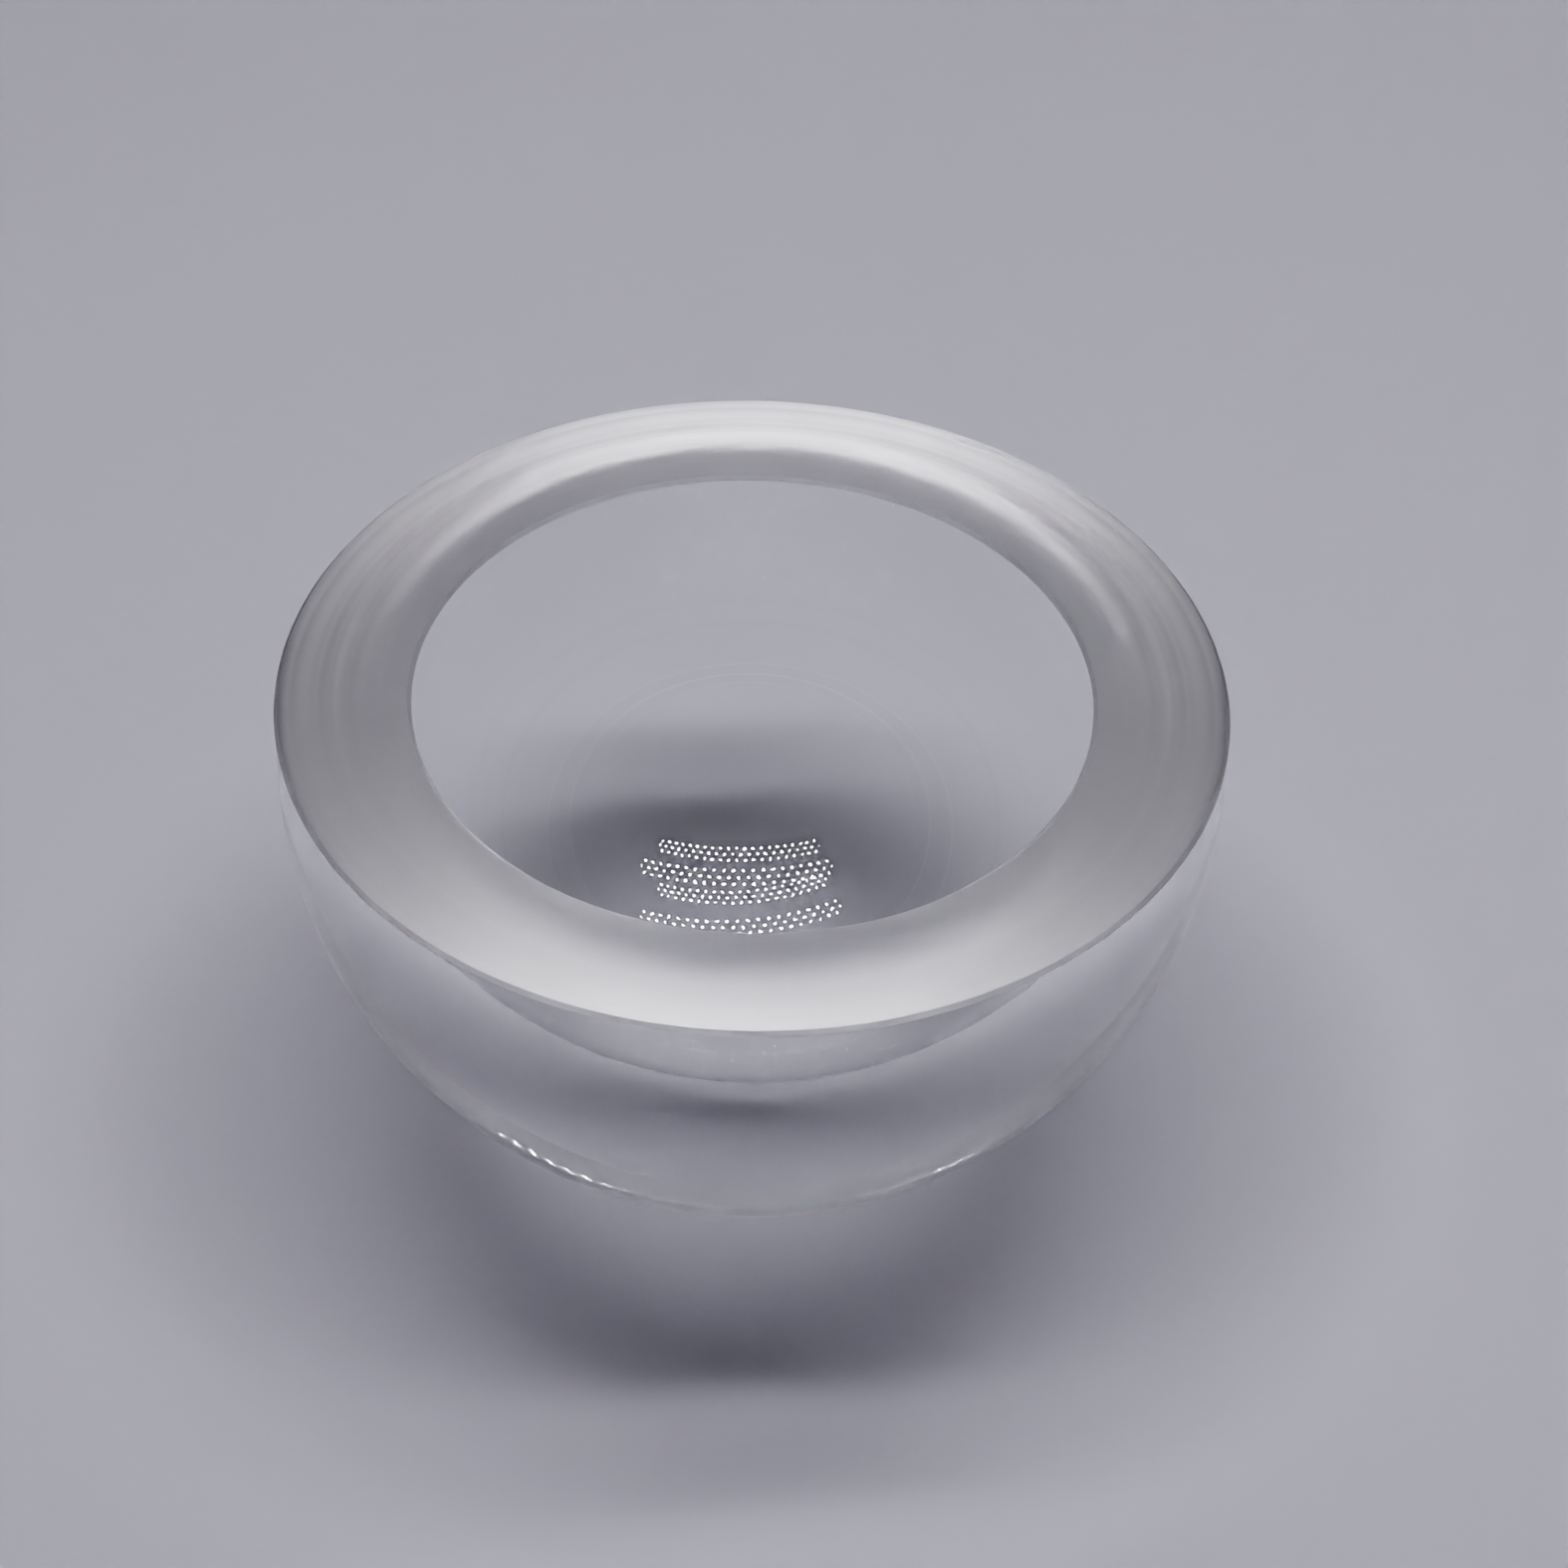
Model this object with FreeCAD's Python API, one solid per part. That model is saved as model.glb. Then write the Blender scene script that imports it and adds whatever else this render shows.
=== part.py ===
import FreeCAD, Part
import math
import os

# Driving dimensions in millimetres
outer_diameter = 70.0
wall_thickness = 10.0
collar_height = 5.0
outer_edge_bevel = 0.3
inner_edge_bevel = 0.3

# Sizes that follow from them
outer_radius = outer_diameter / 2
inner_radius = outer_radius - wall_thickness
centre_height = outer_radius
rim_height = centre_height + collar_height


def point(radius, height):
    """A point of the section, in the plane that holds the optical axis."""
    return FreeCAD.Vector(radius, 0, height)


def quarter_arc(radius):
    """The section of one optical surface, from its pole on the axis up to the equator."""
    halfway = radius * math.sqrt(0.5)
    return Part.Arc(
        point(0, centre_height - radius),
        point(halfway, centre_height - halfway),
        point(radius, centre_height),
    ).toShape()


def straight(start, end):
    return Part.LineSegment(start, end).toShape()


def dome():
    """One solid of glass, polished inside and out.

    It stands on the pole of its outer sphere, with the optical axis upright and the open
    side up. Both spheres share one centre, so the wall is equally thick all over. Above the
    equator both faces carry on as short straight cylinders, the collar that a mounting ring
    grips, up to a flat ground rim whose two sharp edges are bevelled at 45 degrees.
    """
    inner_pole = point(0, centre_height - inner_radius)
    inner_equator = point(inner_radius, centre_height)
    inner_bevel_foot = point(inner_radius, rim_height - inner_edge_bevel)
    inner_bevel_top = point(inner_radius + inner_edge_bevel, rim_height)
    outer_bevel_top = point(outer_radius - outer_edge_bevel, rim_height)
    outer_bevel_foot = point(outer_radius, rim_height - outer_edge_bevel)
    outer_equator = point(outer_radius, centre_height)
    outer_pole = point(0, 0)

    section = Part.Wire([
        quarter_arc(inner_radius),
        straight(inner_equator, inner_bevel_foot),
        straight(inner_bevel_foot, inner_bevel_top),
        straight(inner_bevel_top, outer_bevel_top),
        straight(outer_bevel_top, outer_bevel_foot),
        straight(outer_bevel_foot, outer_equator),
        quarter_arc(outer_radius),
        straight(outer_pole, inner_pole),
    ])
    return Part.Face(section).revolve(point(0, 0), FreeCAD.Vector(0, 0, 1), 360)


os.makedirs("parts", exist_ok=True)
dome().exportStep("parts/dome.step")
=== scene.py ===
# %% [markdown]
# A thick glass dome stands bowl up on a pale table, resting on the pole of its outer sphere. Domes
# like this are the clear front window of a camera or a sensor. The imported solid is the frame: it says
# where the dome is and how large. This lesson takes its sizes from the frame, stands a camera and two
# lamps around it, models the same dome again with fine smooth faces, and gives it two finishes, bright
# polish on the curved faces and a satin grind on the rim.

# %% The frame
import math

import bmesh
import bpy
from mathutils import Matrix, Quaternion, Vector


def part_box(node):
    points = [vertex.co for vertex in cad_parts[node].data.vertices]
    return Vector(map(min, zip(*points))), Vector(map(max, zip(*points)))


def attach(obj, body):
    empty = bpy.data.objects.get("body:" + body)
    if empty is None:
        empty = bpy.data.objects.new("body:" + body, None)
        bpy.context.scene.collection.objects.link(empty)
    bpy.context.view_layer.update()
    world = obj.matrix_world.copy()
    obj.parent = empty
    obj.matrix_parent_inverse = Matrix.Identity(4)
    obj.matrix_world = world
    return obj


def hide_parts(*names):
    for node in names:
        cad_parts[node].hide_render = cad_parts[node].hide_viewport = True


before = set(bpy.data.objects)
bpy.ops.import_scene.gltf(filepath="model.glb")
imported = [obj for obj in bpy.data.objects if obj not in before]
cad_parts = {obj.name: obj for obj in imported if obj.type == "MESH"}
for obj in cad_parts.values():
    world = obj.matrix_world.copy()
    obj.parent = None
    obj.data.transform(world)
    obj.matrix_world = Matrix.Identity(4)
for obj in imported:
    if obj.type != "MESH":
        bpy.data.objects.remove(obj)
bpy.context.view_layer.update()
MM = 0.001

# %% [markdown]
# Nothing is measured twice. The box of the solid gives the outer radius and the height of the rim. Its
# corners give the rest: on the axis the upper one is the floor of the bowl, and on the rim the nearest
# and the farthest from the axis are where the two bevels end. Both spheres share one centre, so the
# wall is as thick at the side as it is at the bottom.

# %% Sizes from the solid
low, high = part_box("dome")
outer_radius = (high.x - low.x) / 2
rim_height = high.z
corners = [vertex.co.copy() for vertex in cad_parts["dome"].data.vertices]
on_axis = [c.z for c in corners if math.hypot(c.x, c.y) < 0.05 * MM]
on_rim = [math.hypot(c.x, c.y) for c in corners if rim_height - c.z < 0.01 * MM]
wall = max(on_axis) - low.z
inner_radius = outer_radius - wall
outer_bevel = outer_radius - max(on_rim)
inner_bevel = min(on_rim) - inner_radius
centre = Vector((0, 0, outer_radius))
rim_centre = Vector((0, 0, rim_height))
print(f"outer radius {outer_radius / MM:.2f} mm, wall {wall / MM:.2f} mm, rim {rim_height / MM:.2f} mm up")
print(f"bevels {outer_bevel / MM:.2f} mm outside and {inner_bevel / MM:.2f} mm inside")

# %% [markdown]
# The camera comes first, because every later choice is judged through it. It stands a third of a metre
# from the rim behind a long lens, 41 degrees above the table, and is turned by a little over a degree.
# The rim isn't in the middle of the picture, so the camera is pointed straight at it and then swung by
# the angle of that offset. A swing keeps the perspective true, which moving the picture sideways in
# the lens wouldn't.

# %% The camera
PHOTO_SIDE = 1575
RIM_CENTRE_PIXEL = (756.3, 694.3)
SENSOR_MM = 36.0
LENS_MM = 102.0
CAMERA_DISTANCE = 0.3259
CAMERA_ELEVATION = math.radians(41.42)
CAMERA_ROLL = math.radians(-1.28)


def stand_camera():
    data = bpy.data.cameras.new("camera")
    data.sensor_width = SENSOR_MM
    data.lens = LENS_MM
    data.clip_start = 0.01
    data.clip_end = 20
    camera = bpy.data.objects.new("camera", data)
    bpy.context.scene.collection.objects.link(camera)
    back = Vector((0, -math.cos(CAMERA_ELEVATION), math.sin(CAMERA_ELEVATION)))
    focal_pixels = LENS_MM / SENSOR_MM * PHOTO_SIDE
    right_of_middle = RIM_CENTRE_PIXEL[0] - PHOTO_SIDE / 2
    above_middle = PHOTO_SIDE / 2 - RIM_CENTRE_PIXEL[1]
    straight_at_rim = back.to_track_quat("Z", "Y")
    roll = Quaternion((0, 0, 1), -CAMERA_ROLL)
    aim = Vector((right_of_middle, above_middle, -focal_pixels))
    swing = Vector((0, 0, -1)).rotation_difference(aim)
    camera.rotation_mode = "QUATERNION"
    camera.rotation_quaternion = straight_at_rim @ roll @ swing.inverted()
    camera.location = rim_centre + CAMERA_DISTANCE * back
    bpy.context.scene.camera = camera
    return camera


camera = stand_camera()
print(f"camera at {[round(v, 4) for v in camera.location]}")

# %% [markdown]
# Materials are worked out with plain arithmetic. A small class wraps a socket, so that `1 - mask * 0.3`
# adds its own Math nodes. Everything that isn't a number goes through one method, which takes the type
# of a node, then its settings, then what its sockets get.

# %% Shader arithmetic


def feed(tree, socket, value):
    """Links a wire to a socket, or sets a plain number or colour on it."""
    if isinstance(value, Wire):
        tree.links.new(value.socket, socket)
    else:
        socket.default_value = value


class Wire:
    """A value on its way between the nodes of one material."""

    def __init__(self, tree, socket):
        self.tree = tree
        self.socket = socket

    def math(self, operation, *others):
        node = self.tree.nodes.new("ShaderNodeMath")
        node.operation = operation
        for socket, value in zip(node.inputs, (self, *others)):
            feed(self.tree, socket, value)
        return Wire(self.tree, node.outputs[0])

    def side(self, name):
        """Another output of the same node."""
        return Wire(self.tree, self.socket.node.outputs[name])

    def __add__(self, other):
        return self.math("ADD", other)

    __radd__ = __add__

    def __mul__(self, other):
        return self.math("MULTIPLY", other)

    __rmul__ = __mul__

    def __sub__(self, other):
        return self.math("SUBTRACT", other)

    def __rsub__(self, other):
        return self * -1 + other

    def between(self, low, high):
        """The value, kept between two limits."""
        return self.math("MAXIMUM", low).math("MINIMUM", high)


class Sheet:
    """The node tree of one material, lamp or world."""

    def __init__(self, owner):
        owner.use_nodes = True
        self.tree = owner.node_tree
        self.tree.nodes.clear()

    def node(self, kind, settings=None, *first_inputs, **inputs):
        node = self.tree.nodes.new(kind)
        for name, value in (settings or {}).items():
            setattr(node, name, value)
        for socket, value in zip(node.inputs, first_inputs):
            feed(self.tree, socket, value)
        for name, value in inputs.items():
            feed(self.tree, node.inputs[name.replace("_", " ")], value)
        return Wire(self.tree, node.outputs[0]) if node.outputs else None

    def mix(self, factor, first, second):
        """A colour between two others."""
        mixed = self.node("ShaderNodeMix", {"data_type": "RGBA"}, Factor=factor, A=first, B=second)
        return mixed.side("Result")

    def object_place(self):
        return self.node("ShaderNodeTexCoord").side("Object")


# %% [markdown]
# The table is one round sheet of pale violet-grey board. It is made as a filled circle. Seen from low
# down, a board that just stopped would show a hard edge behind the glass, so the sheet fades out
# towards its edge: a Mix Shader goes from board to nothing over the outer part, and the pale
# surroundings take over.

# %% The table sheet
SHEET_RADIUS = 0.8
FADE_FROM = 0.22
BOARD = (0.471, 0.457, 0.536, 1)


def board():
    material = bpy.data.materials.new("board")
    sheet = Sheet(material)
    place = sheet.object_place()
    surface = sheet.node("ShaderNodeBsdfDiffuse", Color=BOARD)
    nothing = sheet.node("ShaderNodeBsdfTransparent")
    out = sheet.node("ShaderNodeVectorMath", {"operation": "LENGTH"}, Vector=place).side("Value")
    faded = ((out - FADE_FROM) * (1 / (SHEET_RADIUS - FADE_FROM))).between(0, 1)
    blend = sheet.node("ShaderNodeMixShader", None, faded, surface, nothing)
    sheet.node("ShaderNodeOutputMaterial", Surface=blend)
    return material


def table_sheet():
    mesh = bpy.data.meshes.new("table_sheet")
    bm = bmesh.new()
    bmesh.ops.create_circle(bm, cap_ends=True, radius=SHEET_RADIUS, segments=96)
    bm.to_mesh(mesh)
    bm.free()
    table = bpy.data.objects.new("table_sheet", mesh)
    bpy.context.scene.collection.objects.link(table)
    mesh.materials.append(board())


table_sheet()
print(f"table sheet {2 * SHEET_RADIUS:.1f} m across")

# %% [markdown]
# Two long strip lamps hang side by side over the table, one a little in front of the dome and one
# behind it. Each is three rows of small round diodes, and polished glass mirrors every one of them. An
# area light glows evenly over its whole face, so the glow is multiplied by a pattern of discs drawn on
# that face. Parametric runs from 0 to 1 along and across the lamp, and its whole steps tell the rows
# apart, so that every second row can be shifted by half a diode. Light that comes by way of the matt
# board can't show single diodes, so there the lamp glows evenly with the same total, which keeps the
# board free of grain.

# %% The strip lamps
LAMP_HEIGHT = 0.55
LAMP_LENGTH = 0.53
LAMP_WIDTH = 0.06
LAMP_WATTS = 1.5
ROWS = 3
DIODES_IN_ROW = 21
DIODE_ACROSS = 0.0070


def diode_pattern(data):
    sheet = Sheet(data)
    face = sheet.node("ShaderNodeNewGeometry").side("Parametric")
    along = sheet.node("ShaderNodeSeparateXYZ", Vector=face)
    rows = along.side("Y") * ROWS
    shift = rows.math("FLOOR").math("MODULO", 2) * 0.5
    diodes = along * DIODES_IN_ROW + shift
    x = (diodes.math("FRACT") - 0.5) * (LAMP_LENGTH / DIODES_IN_ROW)
    y = (rows.math("FRACT") - 0.5) * (LAMP_WIDTH / ROWS)
    from_middle = (x * x + y * y).math("SQRT")
    cell = LAMP_LENGTH / DIODES_IN_ROW * LAMP_WIDTH / ROWS
    lit_share = math.pi / 4 * DIODE_ACROSS ** 2 / cell
    discs = from_middle.math("LESS_THAN", DIODE_ACROSS / 2) * (1 / lit_share)
    by_board = sheet.node("ShaderNodeLightPath").side("Diffuse Depth").math("GREATER_THAN", 0.5)
    glow = sheet.node("ShaderNodeEmission", Strength=discs * (1 - by_board) + by_board)
    sheet.node("ShaderNodeOutputLight", Surface=glow)
    return lit_share


def strip_lamp(name, x, y, turn_degrees):
    data = bpy.data.lights.new(name, "AREA")
    data.shape = "RECTANGLE"
    data.size = LAMP_LENGTH
    data.size_y = LAMP_WIDTH
    data.energy = LAMP_WATTS
    lit_share = diode_pattern(data)
    lamp = bpy.data.objects.new(name, data)
    lamp.location = (x, y, LAMP_HEIGHT)
    lamp.rotation_euler = (0, 0, math.radians(turn_degrees))
    bpy.context.scene.collection.objects.link(lamp)
    print(f"{name}: {ROWS * DIODES_IN_ROW} diodes on {lit_share:.0%} of its face")


strip_lamp("front_lamp", 0.038, -0.057, 3.3)
strip_lamp("back_lamp", 0.022, 0.094, 7.7)

# %% [markdown]
# Around the table there are only pale walls, a little brighter at the height of the table than
# overhead. They are one world shader. Glass shows them as they are, but for light on the board they
# are turned low, because the shadow under the dome is deep and nearly all the light comes from the
# lamps. Walls this dim aren't worth aiming light rays at, so the world isn't sampled as a lamp, which
# saves a quarter of the render time.

# %% The pale walls
WALL_GLOW = 0.42
CEILING_GLOW = 0.24
CEILING_FROM = 0.5
ON_BOARD = 0.012


def pale_walls():
    world = bpy.data.worlds.new("pale_walls")
    bpy.context.scene.world = world
    sheet = Sheet(world)
    direction = sheet.node("ShaderNodeTexCoord").side("Generated")
    up = sheet.node("ShaderNodeSeparateXYZ", Vector=direction).side("Z")
    ceiling = (up * (1 / CEILING_FROM)).between(0, 1)
    seen = WALL_GLOW + ceiling * (CEILING_GLOW - WALL_GLOW)
    by_board = sheet.node("ShaderNodeLightPath").side("Diffuse Depth").math("GREATER_THAN", 0.5)
    strength = seen * (1 - by_board) + by_board * ON_BOARD
    glow = sheet.node("ShaderNodeBackground", Color=(0.985, 0.975, 1.0, 1), Strength=strength)
    sheet.node("ShaderNodeOutputWorld", Surface=glow)
    world.cycles.sampling_method = "NONE"


pale_walls()
print(f"walls glow {WALL_GLOW} at the table's height and {CEILING_GLOW} overhead")

# %% [markdown]
# The curved faces are optical polish on crown glass, of index 1.517: no haze at all, so roughness stays
# at zero, and the faces mirror the lamps as sharp dots. What little there is to see in such glass is in
# its colour. A soft noise, stretched along the axis like the flow lines of a pressed blank, moves it
# by a hundredth between clear and the faintest green.

# %% Polished glass
GLASS_INDEX = 1.517
FLOW_SCALE = 60.0
FLOW_STRETCH = (1, 1, 0.3)
CLEAR = (1.0, 1.0, 1.0, 1)
FAINT_GREEN = (0.982, 0.992, 0.986, 1)


def polished_glass():
    material = bpy.data.materials.new("polished_glass")
    sheet = Sheet(material)
    place = sheet.object_place()
    stretched = sheet.node("ShaderNodeMapping", Vector=place, Scale=FLOW_STRETCH)
    flow = sheet.node("ShaderNodeTexNoise", Vector=stretched, Scale=FLOW_SCALE, Detail=0.0)
    colour = sheet.mix(flow, CLEAR, FAINT_GREEN)
    surface = sheet.node(
        "ShaderNodeBsdfPrincipled",
        Base_Color=colour, Roughness=0.0, IOR=GLASS_INDEX, Transmission_Weight=1.0,
    )
    sheet.node("ShaderNodeOutputMaterial", Surface=surface)
    return material


polish = polished_glass()
print(f"{polish.name}: index {GLASS_INDEX}, no haze")

# %% [markdown]
# The rim is lapped flat with loose grit and left like that, because it is bonded and not looked
# through. Grit leaves pits of all sizes. A fine one bends light a little and a coarse one throws it
# anywhere, so the roughness changes from point to point with a very fine noise instead of having one
# value. Lapping also leaves rings around the axis, which come from a noise that reads nothing but the
# distance from the axis. The rings also carry painted light. They are made stronger towards the outer
# edge and on the far half, and fade out on the near one, so that they stand in for the bright caustic
# lines that the lamps throw onto the rim through the glass. There they are painted caustics. A little
# of the light is thrown back by the broken surface itself: a small part of the finish is plain white
# scatter, and the rest is rough glass.

# %% Ground glass
PIT_SCALE = 9000.0
PIT_DEPTH = 0.8
CLOUD_SCALE = 130.0
CLOUD_TINT = 0.2
RINGS_PER_METRE = 900.0
RINGS_GROW_FROM = 0.0285
RINGS_GROW_TO = 0.0305
RINGS_LEAST = 0.1
# How strongly the rings show in the colour. Besides lapping rings they paint caustic lines on the rim.
RING_AND_CAUSTIC_TINT = 4.0
RING_DEPTH = 0.06
ROUGHNESS = 0.665
SMOOTHEST, ROUGHEST = 0.5, 0.85
LET_THROUGH = 0.98
GROUND_LIGHT = (0.690, 0.676, 0.724, 1)
GROUND_DARK = (0.493, 0.482, 0.518, 1)


def ground_glass():
    material = bpy.data.materials.new("ground_glass")
    sheet = Sheet(material)
    place = sheet.object_place()
    flat = sheet.node("ShaderNodeMapping", Vector=place, Scale=(1, 1, 0))
    from_axis = sheet.node("ShaderNodeVectorMath", {"operation": "LENGTH"}, Vector=flat).side("Value")
    rings = sheet.node("ShaderNodeTexNoise", {"noise_dimensions": "1D"}, W=from_axis, Scale=RINGS_PER_METRE)
    cloud = sheet.node("ShaderNodeTexNoise", Vector=place, Scale=CLOUD_SCALE, Detail=1.0)
    pits = sheet.node("ShaderNodeTexNoise", Vector=place, Scale=PIT_SCALE, Detail=1.0)
    # Painted caustics: these masks push the rings stronger towards the outer edge and on the far half of
    # the rim, where they paint bright caustic lines into the colour.
    growth = (from_axis - RINGS_GROW_FROM) * (1 / (RINGS_GROW_TO - RINGS_GROW_FROM))
    across = sheet.node("ShaderNodeSeparateXYZ", Vector=place).side("Y")
    painted_caustics_far_half = (across * (2 / outer_radius) + 0.5).between(RINGS_LEAST, 1)
    rings_and_painted_caustics = (rings - 0.5) * growth.between(RINGS_LEAST, 1) * painted_caustics_far_half * RING_AND_CAUSTIC_TINT
    colour = sheet.mix(rings_and_painted_caustics + (cloud - 0.5) * CLOUD_TINT + 0.5, GROUND_DARK, GROUND_LIGHT)
    roughness = (pits - 0.5) * PIT_DEPTH + rings_and_painted_caustics * RING_DEPTH + ROUGHNESS
    surface = sheet.node(
        "ShaderNodeBsdfPrincipled",
        Base_Color=colour, Roughness=roughness.between(SMOOTHEST, ROUGHEST), IOR=GLASS_INDEX,
        Transmission_Weight=LET_THROUGH,
    )
    sheet.node("ShaderNodeOutputMaterial", Surface=surface)
    return material


grind = ground_glass()
print(f"{grind.name}: lapping rings about {1000 / RINGS_PER_METRE:.1f} mm apart")

# %% [markdown]
# A dome is a turned shape, so it starts as half of its section. The first point is the outer pole. A
# spin about the centre of the sphere draws the outer arc up to the equator, and three extrusions draw
# the straight collar, the flat rim and the straight wall inside. A second spin, the other way round,
# draws the inner arc down to the floor of the bowl. The operators find every point, and only radii and
# heights are given.

# %% Half of the section
ARC_STEPS = 88


def carry_on(bm, end, step):
    """Extrudes the last point of the outline by a step, and returns the new last point."""
    moved = bmesh.ops.extrude_vert_indiv(bm, verts=[end])["verts"]
    bmesh.ops.translate(bm, verts=moved, vec=step)
    return moved[0]


def arc(bm, end, quarter_turns):
    """Spins the last point about the centre of the spheres, in the plane of the section."""
    spun = bmesh.ops.spin(
        bm, geom=[end], cent=centre, axis=(0, 1, 0), dvec=(0, 0, 0),
        angle=quarter_turns * math.pi / 2, steps=ARC_STEPS, use_duplicate=False,
    )
    return [item for item in spun["geom_last"] if isinstance(item, bmesh.types.BMVert)][0]


def half_section(bm):
    outer_pole = bm.verts.new((0, 0, 0))
    equator = arc(bm, outer_pole, -1)
    collar = rim_height - outer_radius
    outer_corner = carry_on(bm, equator, (0, 0, collar))
    inner_corner = carry_on(bm, outer_corner, (-wall, 0, 0))
    inner_equator = carry_on(bm, inner_corner, (0, 0, -collar))
    return arc(bm, inner_equator, 1)


section = bmesh.new()
bowl_floor = half_section(section)
print(f"{len(section.verts)} points from pole to pole, the last {bowl_floor.co.z / MM:.2f} mm up")

# %% [markdown]
# The half section is spun once round the axis, and `use_merge` closes the ring. At the two poles all
# the copies of one point lie on each other, so doubles are merged there, and only then are the normals
# turned outwards. Grinding leaves two sharp corners at the rim that would chip at the first touch, and
# the optician breaks them with a narrow bevel. The same is done here, by the bevel operator on the two
# rings of edges.

# %% Turning the dome
TURN_STEPS = 360
SAME_PLACE = 0.001 * MM


def rings_of_edges(bm, radius, height):
    """The edges of the circle of that radius and height."""
    def on_circle(vert):
        return abs(vert.co.z - height) < SAME_PLACE and abs(vert.co.xy.length - radius) < SAME_PLACE
    return [edge for edge in bm.edges if all(on_circle(vert) for vert in edge.verts)]


def break_corner(bm, radius, width):
    corner = rings_of_edges(bm, radius, rim_height)
    bmesh.ops.bevel(
        bm, geom=corner, offset=width, offset_type="OFFSET", segments=1, profile=0.5,
        affect="EDGES", material=-1, clamp_overlap=True,
    )
    return len(corner)


def turn(bm):
    bmesh.ops.spin(
        bm, geom=bm.verts[:] + bm.edges[:], cent=(0, 0, 0), axis=(0, 0, 1), dvec=(0, 0, 0),
        angle=2 * math.pi, steps=TURN_STEPS, use_merge=True, use_duplicate=False,
    )
    bmesh.ops.remove_doubles(bm, verts=bm.verts[:], dist=SAME_PLACE)
    bmesh.ops.recalc_face_normals(bm, faces=bm.faces[:])
    outer = break_corner(bm, outer_radius, outer_bevel)
    inner = break_corner(bm, inner_radius, inner_bevel)
    print(f"bevels on {outer} and {inner} edges")


turn(section)

# %% [markdown]
# The finish follows the faces: what lies on the rim and its bevels is ground, and all the rest is
# polished. Every face is smooth, and an edge stays sharp where its two faces meet at more than 20
# degrees, which is only at the bevels.

# %% Faces, finishes and edges
POLISHED, GROUND = 0, 1
SHARP = math.radians(20)


def finished_mesh(bm):
    bevel_foot = rim_height - max(outer_bevel, inner_bevel)
    for face in bm.faces:
        face.smooth = True
        face.material_index = GROUND if face.calc_center_median().z > bevel_foot else POLISHED
    for edge in bm.edges:
        edge.smooth = edge.calc_face_angle(0) < SHARP
    loose = [edge for edge in bm.edges if len(edge.link_faces) != 2]
    volume = bm.calc_volume(signed=True)
    print(f"{len(bm.faces)} faces, {len(loose)} open edges, volume {volume * 1e6:.2f} cubic centimetres")
    mesh = bpy.data.meshes.new("dome_glass")
    bm.to_mesh(mesh)
    bm.free()
    return mesh


dome_glass = bpy.data.objects.new("dome_glass", finished_mesh(section))
bpy.context.scene.collection.objects.link(dome_glass)
dome_glass.data.materials.append(polish)
dome_glass.data.materials.append(grind)
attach(dome_glass, "root")
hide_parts("dome")

# %% [markdown]
# The rim catches far more light than the board, and film or a phone would hold it back. AgX does that
# too, and its stronger looks deepen the shadow under the glass. Light is mirrored to and fro inside the
# wall before it leaves, so it is given many bounces. The usual cap on bright indirect light would
# remove just the sparkle that glass lives by, so it is off. Sorting the lamps before each choice pays
# off in a scene with many, and here there are only two, so that is off too.

# %% Tone and bounces
BOUNCES = 12
scene = bpy.context.scene
scene.view_settings.view_transform = "AgX"
scene.view_settings.look = "AgX - Very High Contrast"
scene.view_settings.exposure = -0.02
scene.view_settings.gamma = 0.88
scene.cycles.max_bounces = BOUNCES
scene.cycles.transmission_bounces = BOUNCES
scene.cycles.glossy_bounces = BOUNCES
scene.cycles.diffuse_bounces = 1
scene.cycles.sample_clamp_indirect = 0.0
scene.cycles.blur_glossy = 0.0
scene.cycles.caustics_reflective = True
scene.cycles.caustics_refractive = True
scene.cycles.use_light_tree = False
print(f"{scene.view_settings.look}, up to {BOUNCES} bounces")
